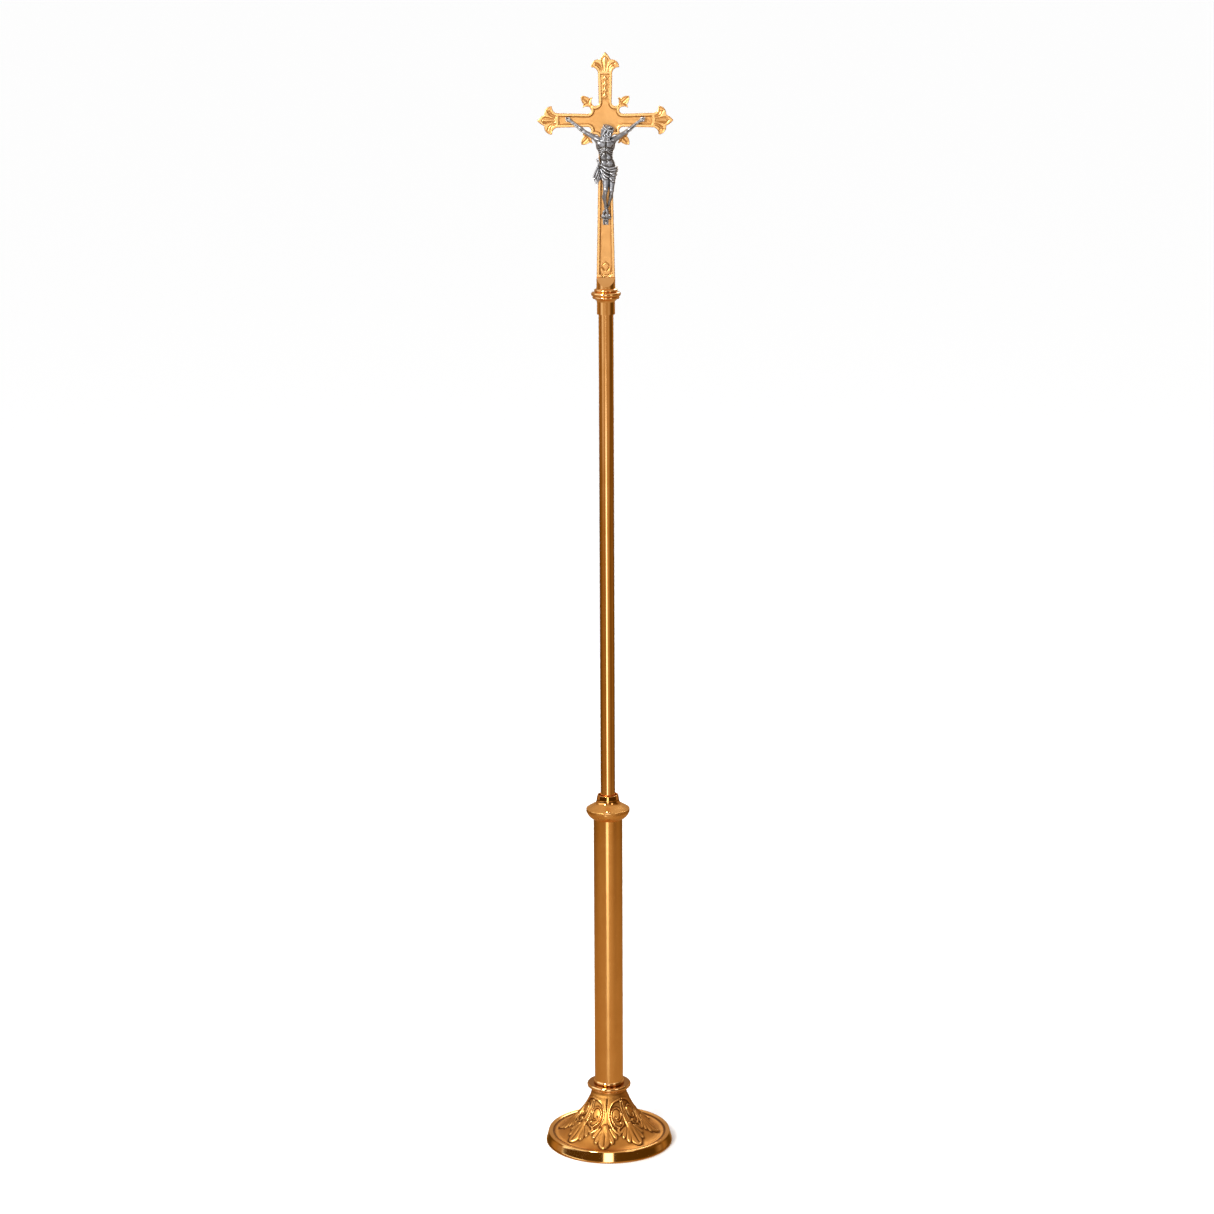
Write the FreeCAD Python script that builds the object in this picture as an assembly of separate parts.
import FreeCAD, Part
import math
import os

# A processional cross standing in its floor stand.  Millimetres, +Z up, the front
# faces -Y.  The origin is the centre of the foot, on the floor.

OVERALL_H = 2286.0

# ---- foot ----
FOOT_D = 268.0
FLOOR_GAP = 2.0
FELT_T = 3.0
FELT_R_IN = 100.0
FELT_R_OUT = 123.0
RIM_CREST_R = 127.0
RIM_CREST_Z = 24.0
FIELD_R_OUT = 117.0
FIELD_Z = 21.0
HILL_FOOT_R = 108.0
CAVITY_R = 126.0
CAVITY_Z = 16.0
NECK_R = 36.0
NECK_Z = 118.0
WEB_Z = 104.0
COVER_R = 125.5
COVER_Z = FELT_T
COVER_T = 2.5
COVER_SCREW_COUNT = 4
COVER_SCREW_PCR = 92.0
COVER_SCREW_R = 2.5
COVER_SCREW_HEAD_R = 4.6
COVER_SCREW_L = 8.0
COVER_SCREW_HOLE_L = 8.5
BALLAST_R = 112.0
BALLAST_Z = 6.0
PILLAR_R = 20.0
BALLAST_POCKET_R = 22.0
BALLAST_POCKET_Z = 20.0

# ---- central tie bolt ----
TIE_R = 8.0
TIE_HOLE_R = 8.5
TIE_TOP_Z = 182.0
TIE_HOLE_SPARE = 2.0
TIE_HEAD_AF = 24.0
TIE_HEAD_H = 10.0
TIE_WASHER_R = 17.0
TIE_WASHER_T = 3.0

# ---- column ----
COLUMN_D = 60.0
COLUMN_WALL = 2.0
SEAT_Z = 131.0
COLUMN_Z = 138.5
COLUMN_TOP_Z = 714.0
PLUG_FLOOR_Z = 190.0
PLUG_TOP_Z = 206.0
PLUG_WAIST_R = 22.0
PLUG_WAIST_LOW_Z = 160.0
PLUG_WAIST_TOP_Z = 192.0
CAP_SPIGOT = 21.0
CAP_R = 45.0
CAP_RIM_Z = 766.0
CAP_RIM_R = 21.6
CAP_RIM_BORE_R = 18.8
SLEEVE_R = 17.4
SLEEVE_TOP_Z = 758.0
FIT = 0.05

# ---- lock screw in the cap ----
LOCK_Z = 736.0
LOCK_R = 3.0
LOCK_HEAD_R = 5.4
LOCK_HEAD_IN = 41.3
LOCK_HEAD_OUT = 48.0
LOCK_POCKET_R = 5.8
LOCK_POCKET_IN = 41.0
LOCK_GAP = 0.3
LOCK_DOME_R = 10.0
LOCK_SLOT_W = 1.3
LOCK_SLOT_DEPTH = 1.4

# ---- pole ----
POLE_D = 30.0
POLE_WALL = 1.5
GUIDE_GAP = 0.35
PAD_T = 4.0
END_PLUG_FLANGE = 3.0
END_PLUG_L = 30.0
POLE_TOP_Z = 1793.0
TOP_PLUG_L = 50.0
HEAD_SLEEVE_Z = 1768.0
HEAD_SLEEVE_R = 18.2

# ---- knop and cross socket ----
KNOP_TOP_Z = 1822.0
STUD_R = 5.0
STUD_HOLE_R = 5.25
STUD_BOTTOM_Z = 1756.0
STUD_TOP_Z = 1831.0
SOCKET_R = 18.75
SOCKET_TOP_Z = 1841.5
SOCKET_CHAMFER_Z = 1824.0
SOCKET_LIP = 0.7
TANG_Z = 1832.5
TANG_HALF = 11.0

# ---- cross ----
ARM_Z = 2153.0
SIDE_REACH = 135.0
TOP_REACH = OVERALL_H - ARM_Z
FOOT_REACH = ARM_Z - SOCKET_TOP_Z
PLATE_T = 7.0
RECESS = 1.3
BORDER = 5.0
HUB_U = 35.0
HUB_HALF = 12.8
ARM_END_HALF = 14.0
SHAFT_END_HALF = 18.4
FLEUR_L = 43.0
COVE_R = 7.0
PANEL_HALF = 7.4
PANEL_BOTTOM = 40.0
PANEL_TOP = 89.0

# ---- figure ----
HAND_X = 72.0
HAND_Z = 1.5
PALM_FRONT = -8.75
RIVET_R = 1.3
RIVET_HEAD_R = 2.2
RIVET_HEAD_T = 1.0
RIVET_REAR_R = 2.6
RIVET_REAR_T = 1.2
DRILL_REACH = 12.0
LUG_BOTTOM = -206.0
LUG_TOP = -188.0
LUG_HALF = 5.8
LUG_FRONT = -6.5
LUG_RIVET_Z = -202.0

Vec = FreeCAD.Vector
UP = Vec(0, 0, 1)


def save(node, shape):
    """Write one named piece, and refuse one that is not made of closed solids."""
    if not shape.Solids or not shape.isValid():
        raise RuntimeError(node + " is not a valid solid")
    shape.exportStep("parts/" + node + ".step")
    print(node, len(shape.Solids), "solid(s)", round(shape.Volume / 1000.0, 2), "cm3")


def curve(points):
    """A smooth curve through (r, z) points of a turned outline."""
    spline = Part.BSplineCurve()
    spline.interpolate([Vec(r, 0, z) for r, z in points])
    return [spline.toShape()]


def line(points):
    """Straight edges through (r, z) points of a turned outline."""
    corners = [Vec(r, 0, z) for r, z in points]
    return [Part.LineSegment(a, b).toShape() for a, b in zip(corners, corners[1:])]


def bead(start, crest, end):
    """A rounded stretch of a turned outline."""
    return [Part.Arc(*[Vec(r, 0, z) for r, z in (start, crest, end)]).toShape()]


def turned(*stretches):
    """Turn a closed outline, given stretch by stretch, about the Z axis."""
    edges = [edge for stretch in stretches for edge in stretch]
    face = Part.Face(Part.Wire(edges))
    return face.revolve(Vec(0, 0, 0), UP, 360)


def tube(r_in, r_out, z_low, z_high):
    """A ring or tube standing on the Z axis."""
    outer = Part.makeCylinder(r_out, z_high - z_low, Vec(0, 0, z_low))
    if r_in == 0:
        return outer
    return outer.cut(Part.makeCylinder(r_in, z_high - z_low, Vec(0, 0, z_low)))


def rod_to_front(radius, y_near, y_far, x, z):
    """A rod parallel to Y, from y_near at the back to y_far in front."""
    return Part.makeCylinder(radius, y_near - y_far, Vec(x, y_near, z), Vec(0, -1, 0))


# ---------------------------------------------------------------- stand

def felt_ring():
    return tube(FELT_R_IN, FELT_R_OUT, 0, FELT_T)


def foot_casting():
    """Hollow bell-shaped foot: flared edge, rim, flat field and concave hill."""
    foot_r = FOOT_D / 2
    flank = curve([(foot_r, 5.0), (foot_r - 2.2, 10.0), (foot_r - 4.0, 16.0), (foot_r - 5.0, 21.5)])
    rim = bead((foot_r - 5.0, 21.5), (RIM_CREST_R, RIM_CREST_Z), (FIELD_R_OUT + 6.5, 23.2))
    step = line([(FIELD_R_OUT + 6.5, 23.2), (FIELD_R_OUT, FIELD_Z), (HILL_FOOT_R, FIELD_Z)])
    hill = curve([(HILL_FOOT_R, FIELD_Z), (100.0, 24.5), (89.5, 32.5), (73.0, 48.5),
                  (57.5, 66.0), (46.5, 83.0), (40.2, 97.0), (37.0, 109.0), (NECK_R, NECK_Z)])
    inside = line([(NECK_R, NECK_Z), (TIE_HOLE_R, NECK_Z), (TIE_HOLE_R, WEB_Z), (31.5, WEB_Z),
                   (35.0, 94.0), (42.5, 80.0), (53.8, 63.0), (69.5, 45.0), (86.5, 28.5), (97.0, 20.0),
                   (105.0, CAVITY_Z), (CAVITY_R, CAVITY_Z), (CAVITY_R, FLOOR_GAP),
                   (foot_r, FLOOR_GAP), (foot_r, 5.0)])
    return turned(flank, rim, step, hill, inside)


def cover_screw_places():
    step = 360.0 / COVER_SCREW_COUNT
    for index in range(COVER_SCREW_COUNT):
        angle = math.radians(step * (index + 0.5))
        yield Vec(COVER_SCREW_PCR * math.cos(angle), COVER_SCREW_PCR * math.sin(angle), 0)


def cover_screw(place):
    head = Part.makeCone(COVER_SCREW_HEAD_R, COVER_SCREW_R, COVER_T, place + UP * COVER_Z)
    shank = Part.makeCylinder(COVER_SCREW_R, COVER_SCREW_L, place + UP * (COVER_Z + COVER_T))
    return head.fuse(shank)


def ballast():
    """Cast-iron weight filling the foot, with a pillar up to the web."""
    body = turned(line([(TIE_HOLE_R, BALLAST_POCKET_Z), (BALLAST_POCKET_R, BALLAST_POCKET_Z),
                        (BALLAST_POCKET_R, BALLAST_Z), (BALLAST_R, BALLAST_Z),
                        (BALLAST_R, 12.0), (102.0, 15.0), (94.0, 20.0), (82.0, 30.5),
                        (PILLAR_R + 6.0, 33.0), (PILLAR_R, 42.0), (PILLAR_R, WEB_Z),
                        (TIE_HOLE_R, WEB_Z), (TIE_HOLE_R, BALLAST_POCKET_Z)]))
    for place in cover_screw_places():
        body = body.cut(Part.makeCylinder(COVER_SCREW_R, COVER_SCREW_HOLE_L,
                                          place + UP * (COVER_Z + COVER_T)))
    return body


def cover_plate():
    plate = tube(0, COVER_R, COVER_Z, COVER_Z + COVER_T)
    for place in cover_screw_places():
        plate = plate.cut(Part.makeCone(COVER_SCREW_HEAD_R, COVER_SCREW_R, COVER_T,
                                        place + UP * COVER_Z))
    return plate


def hexagon(across_flats, z_low, height):
    radius = across_flats / math.sqrt(3.0)
    corners = [Vec(radius * math.cos(math.radians(60 * k)), radius * math.sin(math.radians(60 * k)),
                   z_low) for k in range(7)]
    return Part.Face(Part.makePolygon(corners)).extrude(UP * height)


def tie_bolt():
    head_top = BALLAST_POCKET_Z - TIE_WASHER_T
    head = hexagon(TIE_HEAD_AF, head_top - TIE_HEAD_H, TIE_HEAD_H)
    return head.fuse(tube(0, TIE_R, head_top, TIE_TOP_Z))


def tie_washer():
    return tube(TIE_HOLE_R, TIE_WASHER_R, BALLAST_POCKET_Z - TIE_WASHER_T, BALLAST_POCKET_Z)


def neck_ring():
    """Turned ring: a thin lip on the neck, then a heavy flange with a flat top."""
    return turned(line([(TIE_HOLE_R, SEAT_Z), (TIE_HOLE_R, NECK_Z), (NECK_R, NECK_Z)]),
                  bead((NECK_R, NECK_Z), (38.8, 119.2), (37.6, 120.6)),
                  line([(37.6, 120.6), (40.8, 121.4)]),
                  bead((40.8, 121.4), (46.0, 126.8), (44.6, 130.4)),
                  bead((44.6, 130.4), (44.2, 130.9), (43.5, SEAT_Z)),
                  line([(43.5, SEAT_Z), (TIE_HOLE_R, SEAT_Z)]))


def seat_bead():
    return turned(line([(TIE_HOLE_R, COLUMN_Z), (TIE_HOLE_R, SEAT_Z), (31.4, SEAT_Z)]),
                  bead((31.4, SEAT_Z), (32.4, 134.6), (30.4, COLUMN_Z)),
                  line([(30.4, COLUMN_Z), (TIE_HOLE_R, COLUMN_Z)]))


def column_tube():
    radius = COLUMN_D / 2
    return tube(radius - COLUMN_WALL, radius, COLUMN_Z, COLUMN_TOP_Z)


def column_foot_plug():
    """Plug in the foot of the column: threaded below, cupped above for the sleeve."""
    wide = COLUMN_D / 2 - COLUMN_WALL - FIT
    waist = tube(PLUG_WAIST_R, wide + 1, PLUG_WAIST_LOW_Z, PLUG_WAIST_TOP_Z)
    plug = tube(0, wide, COLUMN_Z, PLUG_TOP_Z).cut(waist)
    plug = plug.cut(tube(0, TIE_R, COLUMN_Z, TIE_TOP_Z + TIE_HOLE_SPARE))
    return plug.cut(tube(0, SLEEVE_R + FIT, PLUG_FLOOR_Z, PLUG_TOP_Z))


def column_cap():
    """Bowl-shaped cap on the column, drawn in to a short cup around the pole."""
    spigot_r = COLUMN_D / 2 - COLUMN_WALL - FIT
    bore = SLEEVE_R + FIT
    low = COLUMN_TOP_Z - CAP_SPIGOT
    cap = turned(line([(bore, SLEEVE_TOP_Z), (bore, low), (spigot_r, low),
                       (spigot_r, COLUMN_TOP_Z), (COLUMN_D / 2 + 0.8, COLUMN_TOP_Z)]),
                 bead((COLUMN_D / 2 + 0.8, COLUMN_TOP_Z), (39.8, 720.8), (CAP_R, 730.0)),
                 line([(CAP_R, 730.0), (CAP_R, 735.0)]),
                 bead((CAP_R, 735.0), (44.7, 736.1), (43.8, 736.7)),
                 curve([(43.8, 736.7), (38.2, 740.4), (31.0, 744.4), (26.0, 748.0), (23.8, 752.5),
                        (23.2, 757.0)]),
                 line([(23.2, 757.0), (CAP_RIM_R, CAP_RIM_Z - 1.0)]),
                 bead((CAP_RIM_R, CAP_RIM_Z - 1.0), (20.4, CAP_RIM_Z), (CAP_RIM_BORE_R, 765.4)),
                 line([(CAP_RIM_BORE_R, 765.4), (bore, SLEEVE_TOP_Z)]))
    cap = cap.cut(rod_to_front(LOCK_R + LOCK_GAP, -POLE_D / 2, -CAP_R - 5, 0, LOCK_Z))
    return cap.cut(rod_to_front(LOCK_POCKET_R, -LOCK_POCKET_IN, -CAP_R - 5, 0, LOCK_Z))


def socket_sleeve():
    """Inner tube that guides the pole, from the foot plug up into the cap."""
    sleeve = tube(POLE_D / 2 + GUIDE_GAP, SLEEVE_R, PLUG_FLOOR_Z, SLEEVE_TOP_Z)
    return sleeve.cut(rod_to_front(LOCK_R + 0.5, -POLE_D / 2, -SLEEVE_R - 1, 0, LOCK_Z))


def heel_pad():
    """Disc on the plug floor that carries the pole and turns with it."""
    return tube(0, POLE_D / 2 - 0.5, PLUG_FLOOR_Z + 0.05, PLUG_FLOOR_Z + PAD_T)


def lock_screw():
    """Radial screw in the cap: shank towards the pole, domed slotted head outside."""
    tip = POLE_D / 2 + GUIDE_GAP
    shank = rod_to_front(LOCK_R, -tip, -LOCK_HEAD_IN, 0, LOCK_Z)
    head = rod_to_front(LOCK_HEAD_R, -LOCK_HEAD_IN, -LOCK_HEAD_OUT, 0, LOCK_Z)
    dome = Part.makeSphere(LOCK_DOME_R, Vec(0, LOCK_DOME_R - LOCK_HEAD_OUT, LOCK_Z))
    slot = Part.makeBox(2 * LOCK_HEAD_R, LOCK_SLOT_DEPTH, LOCK_SLOT_W,
                        Vec(-LOCK_HEAD_R, -LOCK_HEAD_OUT, LOCK_Z - LOCK_SLOT_W / 2))
    return shank.fuse(head.common(dome)).cut(slot)


# ---------------------------------------------------------------- pole

def pole_foot_z():
    return PLUG_FLOOR_Z + PAD_T


def pole_tube():
    radius = POLE_D / 2
    return tube(radius - POLE_WALL, radius, pole_foot_z() + END_PLUG_FLANGE, POLE_TOP_Z)


def pole_end_plug():
    foot = pole_foot_z()
    flange = Part.makeCylinder(POLE_D / 2, END_PLUG_FLANGE, Vec(0, 0, foot))
    spigot = tube(0, POLE_D / 2 - POLE_WALL - FIT, foot + END_PLUG_FLANGE, foot + END_PLUG_L)
    return flange.fuse(spigot)


def pole_top_plug():
    plug = tube(0, POLE_D / 2 - POLE_WALL - FIT, POLE_TOP_Z - TOP_PLUG_L, POLE_TOP_Z)
    return plug.cut(tube(0, STUD_R, STUD_BOTTOM_Z, POLE_TOP_Z))


def head_sleeve():
    return tube(POLE_D / 2 + FIT, HEAD_SLEEVE_R, HEAD_SLEEVE_Z, POLE_TOP_Z)


def knop():
    """Turned knop of three rings, the middle one largest."""
    return turned(line([(STUD_HOLE_R, KNOP_TOP_Z), (STUD_HOLE_R, POLE_TOP_Z),
                        (HEAD_SLEEVE_R, POLE_TOP_Z)]),
                  bead((HEAD_SLEEVE_R, POLE_TOP_Z), (20.6, 1796.6), (24.6, 1799.0)),
                  bead((24.6, 1799.0), (27.2, 1801.8), (25.2, 1804.6)),
                  bead((25.2, 1804.6), (30.0, 1808.5), (24.6, 1812.4)),
                  line([(24.6, 1812.4), (21.6, 1813.4)]),
                  bead((21.6, 1813.4), (23.8, 1816.0), (21.4, 1818.6)),
                  line([(21.4, 1818.6), (19.2, 1819.6), (19.2, KNOP_TOP_Z), (STUD_HOLE_R, KNOP_TOP_Z)]))


def cross_stud():
    return tube(0, STUD_R, STUD_BOTTOM_Z, STUD_TOP_Z)


def cross_socket():
    """Short cylinder, slotted for the cross and cut away in slopes front and back."""
    body = tube(0, SOCKET_R, KNOP_TOP_Z, SOCKET_TOP_Z)
    body = body.cut(tube(0, STUD_R, KNOP_TOP_Z, TANG_Z))
    body = body.cut(Part.makeBox(2 * TANG_HALF, PLATE_T, SOCKET_TOP_Z - TANG_Z,
                                 Vec(-TANG_HALF, -PLATE_T / 2, TANG_Z)))
    lip = PLATE_T / 2 + SOCKET_LIP
    for side in (-1, 1):
        wedge = Part.makePolygon([Vec(-30, side * lip, SOCKET_TOP_Z),
                                  Vec(-30, side * (SOCKET_R + 0.1), SOCKET_CHAMFER_Z),
                                  Vec(-30, side * 30, SOCKET_CHAMFER_Z),
                                  Vec(-30, side * 30, SOCKET_TOP_Z + 5),
                                  Vec(-30, side * lip, SOCKET_TOP_Z + 5),
                                  Vec(-30, side * lip, SOCKET_TOP_Z)])
        body = body.cut(Part.Face(wedge).extrude(Vec(60, 0, 0)))
    return body


# ---------------------------------------------------------------- cross
# The outline lies in the XZ plane.  Each arm is drawn in its own (u, v) frame, u
# outwards from the crossing and v across, and turned to its direction.

def arm_point(direction, u, v):
    angle = math.radians(90 * direction)
    x = u * math.cos(angle) - v * math.sin(angle)
    z = u * math.sin(angle) + v * math.cos(angle)
    return Vec(x, 0, ARM_Z + z)


def fleur_half(reach):
    """Half of an end fleur, from the arm's edge to the tip, as lists of (u, v) points."""
    return [[(reach - FLEUR_L, ARM_END_HALF), (reach - 34.0, 16.6), (reach - 29.4, 24.6)],
            [(reach - 29.4, 24.6), (reach - 28.4, 27.9)],
            [(reach - 28.4, 27.9), (reach - 18.0, 23.0), (reach - 14.2, 10.9)],
            [(reach - 14.2, 10.9), (reach - 7.4, 7.0), (reach, 0.0)]]


def shoulder_half():
    """Half of a diagonal leaf with its cove, from the arm's edge to the leaf's tip."""
    cove_v = HUB_HALF + COVE_R
    return [[(HUB_U, HUB_HALF), (HUB_U - COVE_R, cove_v), (HUB_U + 0.5, cove_v + COVE_R)],
            [(HUB_U + 0.5, cove_v + COVE_R), (40.3, 26.8), (44.4, 24.6)],
            [(44.4, 24.6), (44.6, 28.0), (42.4, 30.6)],
            [(42.4, 30.6), (47.0, 38.4), (47.6, 47.6)]]


def swap(stretch):
    return [(v, u) for u, v in reversed(stretch)]


def edges_of(stretches, direction):
    """Turn two-point stretches into lines and three-point ones into arcs."""
    for stretch in stretches:
        points = [arm_point(direction, u, v) for u, v in stretch]
        if len(points) == 2:
            yield Part.LineSegment(*points).toShape()
        else:
            yield Part.Arc(*points).toShape()


def arm_outline(direction, reach):
    """An arm from its low side, out round the fleur, and back along its high side."""
    half = fleur_half(reach)
    near = [[(HUB_U, -HUB_HALF), (reach - FLEUR_L, -ARM_END_HALF)]]
    far = [[(reach - FLEUR_L, ARM_END_HALF), (HUB_U, HUB_HALF)]]
    low_side = [[(u, -v) for u, v in stretch] for stretch in half]
    high_side = [list(reversed(stretch)) for stretch in reversed(half)]
    return list(edges_of(near + low_side + high_side + far, direction))


def shaft_outline():
    stretches = [[(HUB_U, -HUB_HALF), (FOOT_REACH, -SHAFT_END_HALF)],
                 [(FOOT_REACH, -SHAFT_END_HALF), (FOOT_REACH, -TANG_HALF)],
                 [(FOOT_REACH, -TANG_HALF), (ARM_Z - TANG_Z, -TANG_HALF)],
                 [(ARM_Z - TANG_Z, -TANG_HALF), (ARM_Z - TANG_Z, TANG_HALF)],
                 [(ARM_Z - TANG_Z, TANG_HALF), (FOOT_REACH, TANG_HALF)],
                 [(FOOT_REACH, TANG_HALF), (FOOT_REACH, SHAFT_END_HALF)],
                 [(FOOT_REACH, SHAFT_END_HALF), (HUB_U, HUB_HALF)]]
    return list(edges_of(stretches, 3))


def shoulder_outline(direction):
    half = shoulder_half()
    mirrored = [swap(stretch) for stretch in reversed(half)]
    return list(edges_of(half + mirrored, direction))


def cross_outline():
    reaches = {0: SIDE_REACH, 1: TOP_REACH, 2: SIDE_REACH}
    edges = []
    for direction in range(4):
        if direction == 3:
            edges += shaft_outline()
        else:
            edges += arm_outline(direction, reaches[direction])
        edges += shoulder_outline(direction)
    return Part.Wire(edges)


def slab(points, y_low, y_high):
    """A flat prism with a polygonal outline of (x, z) points about the crossing."""
    corners = [Vec(x, y_low, ARM_Z + z) for x, z in points]
    return Part.Face(Part.makePolygon(corners + corners[:1])).extrude(Vec(0, y_high - y_low, 0))


def recess_tool(y_low, y_high):
    """The sunk field inside the border: arms and crossing less the coves."""
    hub = HUB_HALF - BORDER
    side_u = SIDE_REACH - FLEUR_L + 5.0
    top_u = TOP_REACH - FLEUR_L + 3.0
    arm = ARM_END_HALF - BORDER
    foot = SHAFT_END_HALF - BORDER
    cove = HUB_HALF + COVE_R
    field = slab([(-hub, -HUB_U), (-foot, -FOOT_REACH + 4.0), (foot, -FOOT_REACH + 4.0),
                  (hub, -HUB_U), (HUB_U, -hub), (side_u, -arm), (side_u, arm), (HUB_U, hub),
                  (hub, HUB_U), (arm, top_u), (-arm, top_u), (-hub, HUB_U), (-HUB_U, hub),
                  (-side_u, arm), (-side_u, -arm), (-HUB_U, -hub)], y_low, y_high)
    for sx in (-1, 1):
        for sz in (-1, 1):
            for x, z in ((HUB_U, cove), (cove, HUB_U)):
                centre = Vec(sx * x, y_low, ARM_Z + sz * z)
                field = field.cut(Part.makeCylinder(COVE_R + BORDER, y_high - y_low, centre,
                                                    Vec(0, 1, 0)))
    return field


def cross_casting():
    half_t = PLATE_T / 2
    outline = cross_outline()
    outline.translate(Vec(0, -half_t, 0))
    plate = Part.Face(outline).extrude(Vec(0, PLATE_T, 0))
    plate = plate.cut(recess_tool(-half_t - 1, -half_t + RECESS))
    plate = plate.cut(recess_tool(half_t - RECESS, half_t + 1))
    panel = slab([(-PANEL_HALF, PANEL_BOTTOM), (PANEL_HALF, PANEL_BOTTOM),
                  (PANEL_HALF, PANEL_TOP), (-PANEL_HALF, PANEL_TOP)],
                 -half_t + 0.4, -half_t + RECESS + 0.5)
    plate = plate.fuse(panel)
    for x in (-HAND_X, HAND_X):
        plate = plate.cut(rod_to_front(RIVET_R, DRILL_REACH, -DRILL_REACH, x, ARM_Z + HAND_Z))
    return plate.cut(rod_to_front(RIVET_R, DRILL_REACH, -DRILL_REACH, 0, ARM_Z + LUG_RIVET_Z))


# ---------------------------------------------------------------- figure
# Joints are (x, y, z) from the crossing, with z up the cross and y towards the back.

SHOULDERS = ((-15.0, -14.0, -36.0), (17.0, -14.0, -38.0))
ELBOWS = ((-41.0, -10.5, -21.5), (41.0, -10.5, -22.5))
WRISTS = ((-65.0, -7.0, -3.0), (63.0, -7.0, -4.0))
PALMS = ((-HAND_X, -5.5, HAND_Z), (HAND_X, -5.5, HAND_Z))
FINGERS = ((-79.0, -5.5, 4.0), (79.0, -5.5, 4.0))
NECK = (2.0, -15.0, -33.0)
HEAD = (5.0, -17.0, -24.0)
CHEST = (-1.0, -14.0, -50.0)
WAIST = (1.5, -13.0, -75.0)
HIPS = (5.5, -14.0, -95.0)
THIGHS = ((-2.0, -15.0, -103.0), (14.5, -15.0, -100.0))
KNEES = ((3.0, -22.0, -133.0), (13.5, -21.0, -135.0))
ANKLES = ((-1.5, -10.0, -172.0), (5.0, -9.0, -171.0))
TOES = ((1.0, -10.5, -188.0), (3.0, -8.5, -188.0))


def joint_at(place):
    return Vec(place[0], place[1], ARM_Z + place[2])


def limb(start, r_start, end, r_end):
    """A tapered limb with a ball at its far end."""
    a = joint_at(start)
    b = joint_at(end)
    bone = Part.makeCone(r_start, r_end, (b - a).Length, a, b - a)
    return bone.fuse(Part.makeSphere(r_end, b))


def figure():
    body = Part.makeSphere(9.6, joint_at(HEAD))
    body = body.fuse(limb(HEAD, 6.0, NECK, 7.0))
    body = body.fuse(limb(NECK, 7.0, CHEST, 12.5))
    body = body.fuse(limb(CHEST, 12.5, WAIST, 11.0))
    body = body.fuse(limb(WAIST, 11.0, HIPS, 13.5))
    for side in (0, 1):
        body = body.fuse(limb(CHEST, 9.0, SHOULDERS[side], 5.6))
        body = body.fuse(limb(SHOULDERS[side], 5.4, ELBOWS[side], 3.6))
        body = body.fuse(limb(ELBOWS[side], 3.5, WRISTS[side], 2.6))
        body = body.fuse(limb(WRISTS[side], 2.5, PALMS[side], 3.2))
        body = body.fuse(limb(PALMS[side], 2.9, FINGERS[side], 1.8))
        body = body.fuse(limb(HIPS, 10.5, THIGHS[side], 9.5))
        body = body.fuse(limb(THIGHS[side], 9.3, KNEES[side], 6.4))
        body = body.fuse(limb(KNEES[side], 6.2, ANKLES[side], 3.9))
        body = body.fuse(limb(ANKLES[side], 3.8, TOES[side], 4.6))
    drape = slab([(-14.0, -80.0), (-8.0, -96.0), (-9.0, -116.0), (-19.0, -127.0), (-25.0, -110.0)],
                 -16.0, -9.0)
    body = body.fuse(drape)
    back = -PLATE_T / 2
    body = body.cut(Part.makeBox(400, 60, 400, Vec(-200, back, ARM_Z - 300)))
    lug = slab([(-LUG_HALF, LUG_BOTTOM), (LUG_HALF, LUG_BOTTOM), (LUG_HALF, LUG_TOP),
                (-LUG_HALF, LUG_TOP)], LUG_FRONT, back)
    body = body.fuse(lug)
    for x in (-HAND_X, HAND_X):
        body = body.cut(rod_to_front(RIVET_R, DRILL_REACH, -DRILL_REACH, x, ARM_Z + HAND_Z))
    return body.cut(rod_to_front(RIVET_R, DRILL_REACH, -DRILL_REACH, 0, ARM_Z + LUG_RIVET_Z))


def rivet(x, z, front):
    """A rivet through the cross, with a round head in front and one behind."""
    back = PLATE_T / 2 - RECESS
    shank = rod_to_front(RIVET_R, back, front, x, z)
    rear = rod_to_front(RIVET_REAR_R, back + RIVET_REAR_T, back, x, z)
    head = rod_to_front(RIVET_HEAD_R, front, front - RIVET_HEAD_T, x, z)
    return shank.fuse(rear).fuse(head)


def hand_rivets():
    return Part.makeCompound([rivet(x, ARM_Z + HAND_Z, PALM_FRONT) for x in (-HAND_X, HAND_X)])


def foot_rivet():
    return rivet(0, ARM_Z + LUG_RIVET_Z, LUG_FRONT)


# ---------------------------------------------------------------- output

NODES = {
    "base_felt_ring": felt_ring,
    "base_casting": foot_casting,
    "base_ballast": ballast,
    "base_cover_plate": cover_plate,
    "cover_screws": lambda: Part.makeCompound([cover_screw(p) for p in cover_screw_places()]),
    "tie_bolt": tie_bolt,
    "tie_washer": tie_washer,
    "neck_ring": neck_ring,
    "column_seat_bead": seat_bead,
    "column_foot_plug": column_foot_plug,
    "column_tube": column_tube,
    "column_cap": column_cap,
    "socket_sleeve": socket_sleeve,
    "heel_pad": heel_pad,
    "lock_screw": lock_screw,
    "pole_tube": pole_tube,
    "pole_end_plug": pole_end_plug,
    "pole_top_plug": pole_top_plug,
    "head_sleeve": head_sleeve,
    "knop": knop,
    "cross_stud": cross_stud,
    "cross_socket": cross_socket,
    "cross_casting": cross_casting,
    "corpus": figure,
    "hand_rivets": hand_rivets,
    "foot_rivet": foot_rivet,
}

os.makedirs("parts", exist_ok=True)
for node_name, make in NODES.items():
    save(node_name, make())
